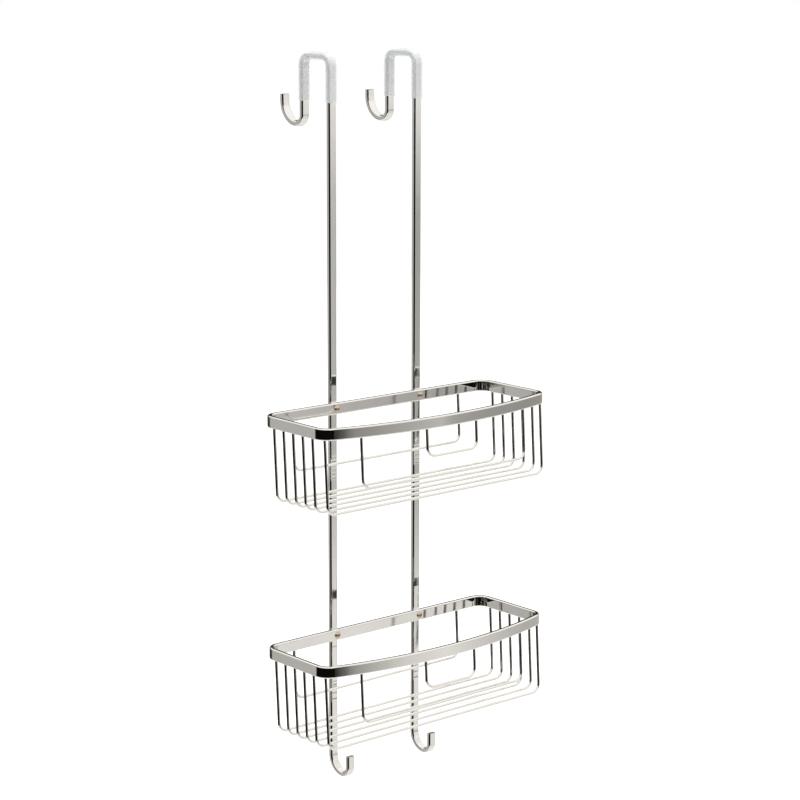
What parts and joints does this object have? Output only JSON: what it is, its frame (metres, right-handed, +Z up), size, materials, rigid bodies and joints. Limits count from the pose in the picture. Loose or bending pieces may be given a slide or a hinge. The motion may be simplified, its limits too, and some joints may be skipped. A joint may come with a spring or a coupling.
{
  "type": "over-door shower caddy",
  "caption": "Hanging wire shower caddy: flat bars hook over a door edge, carry bow-fronted wire baskets one above the other and end in towel hooks.",
  "frame": {"origin": "midway between the two hooks, on the plane where the sleeves rest on the door's top edge", "axes": "+Z up, +X to the right as seen from the room, -Y towards the room, where the baskets are"},
  "size_m": [0.3, 0.2012, 0.7502],
  "materials": {
    "chrome": "polished",
    "clear_sleeve": "clear gloss",
    "screw": "satin"
  },
  "bodies": {
    "root": {"left_hanger_bar": "chrome", "right_hanger_bar": "chrome", "upper_rim": "chrome", "lower_rim": "chrome", "upper_back_wire": "chrome", "upper_front_wide_wire": "chrome", "upper_front_small_wire": "chrome", "upper_floor_wire_1": "chrome", "upper_floor_wire_2": "chrome", "upper_floor_wire_3": "chrome", "upper_floor_wire_4": "chrome", "upper_floor_wire_5": "chrome", "upper_floor_wire_6": "chrome", "lower_back_wire": "chrome", "lower_front_wide_wire": "chrome", "lower_front_small_wire": "chrome", "lower_floor_wire_1": "chrome", "lower_floor_wire_2": "chrome", "lower_floor_wire_3": "chrome", "lower_floor_wire_4": "chrome", "lower_floor_wire_5": "chrome", "lower_floor_wire_6": "chrome", "left_sleeve": "clear_sleeve", "right_sleeve": "clear_sleeve", "basket_screws": "screw"}
  },
  "joints": []
}
